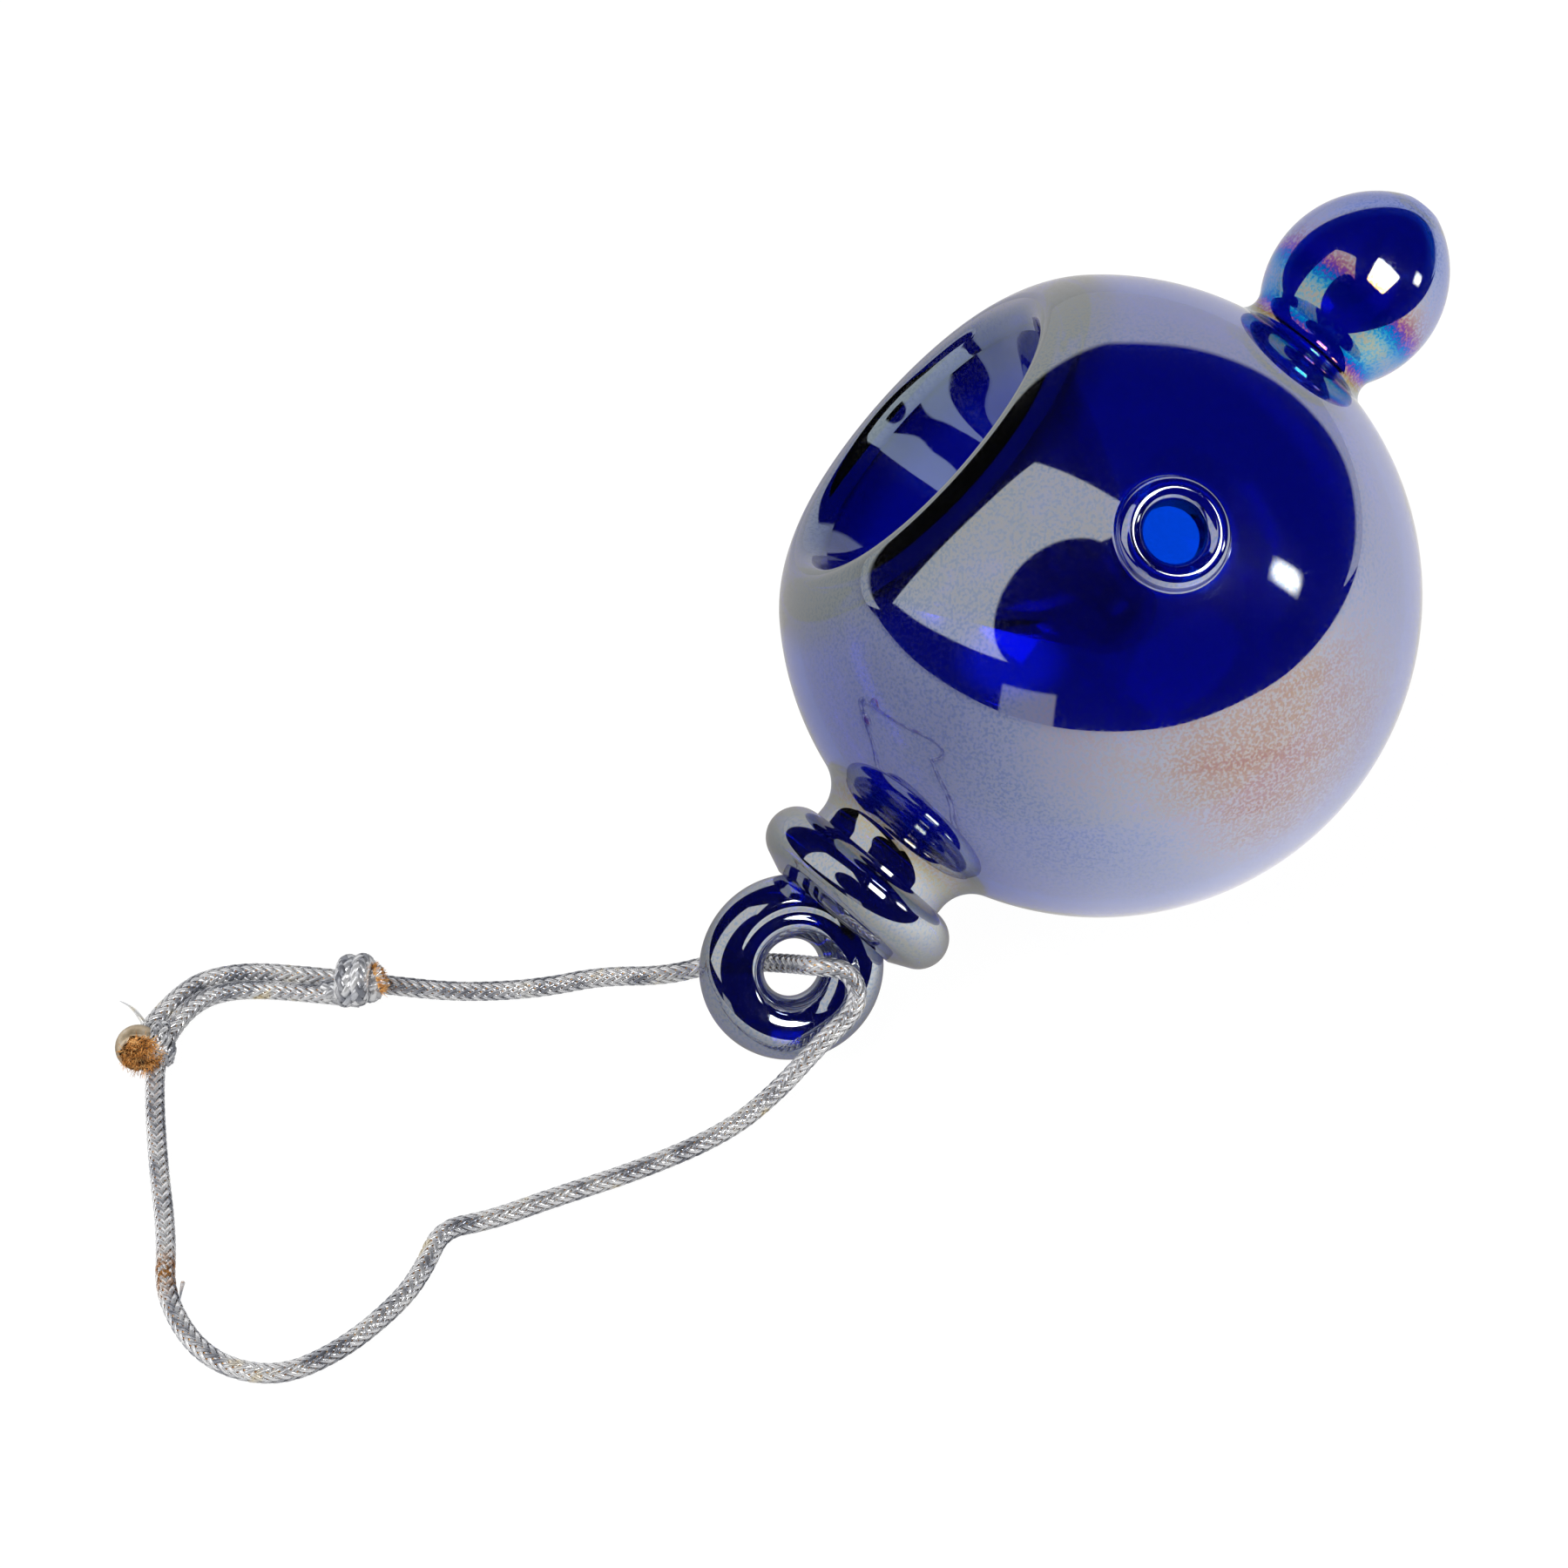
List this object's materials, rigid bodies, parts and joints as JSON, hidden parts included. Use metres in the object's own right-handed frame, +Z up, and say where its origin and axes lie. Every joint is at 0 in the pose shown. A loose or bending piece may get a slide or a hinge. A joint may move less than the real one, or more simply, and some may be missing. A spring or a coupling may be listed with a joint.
{
  "type": "evil eye ornament",
  "caption": "Hollow blown-glass globe with a sunken eye cup, lipped blow hole, finial knob and flanged hanger ring, hung on a knotted metallic braid cord loop.",
  "frame": {"origin": "on the table, under the middle of the glass's box, cord left out", "axes": "+Z up from the table the ornament lies on; +X over the table from the ring end to the finial end, which is the glass's longest side"},
  "size_m": [0.1475, 0.0717, 0.06],
  "materials": {
    "cobalt_glass": "cobalt blue glass with a thin iridescent metallic lustre outside, glossy",
    "silver_braid": "silver metallic foil braid, herringbone weave, shiny with dull worn spots",
    "fibre_core": "brown cut fibre core, scorched and frayed, matte"
  },
  "bodies": {
    "ornament": {"globe": "cobalt_glass", "eye_cup": "cobalt_glass", "blow_hole_lip": "cobalt_glass", "hanger_neck": "cobalt_glass", "neck_flange": "cobalt_glass", "hanger_ring": "cobalt_glass", "finial_neck": "cobalt_glass", "finial_bulb": "cobalt_glass"},
    "hanging_cord": {"cord_braid": "silver_braid", "near_knot": "silver_braid", "far_knot": "silver_braid", "near_cut_end": "fibre_core", "far_cut_end": "fibre_core"}
  },
  "joints": [
    {"name": "cord_swing", "type": "hinge", "parent": "ornament", "child": "hanging_cord", "pos_m": [-0.0364, 0, 0.0076], "axis": [0.3458, 0.7193, -0.6025], "range_deg": [0, 75]}
  ]
}
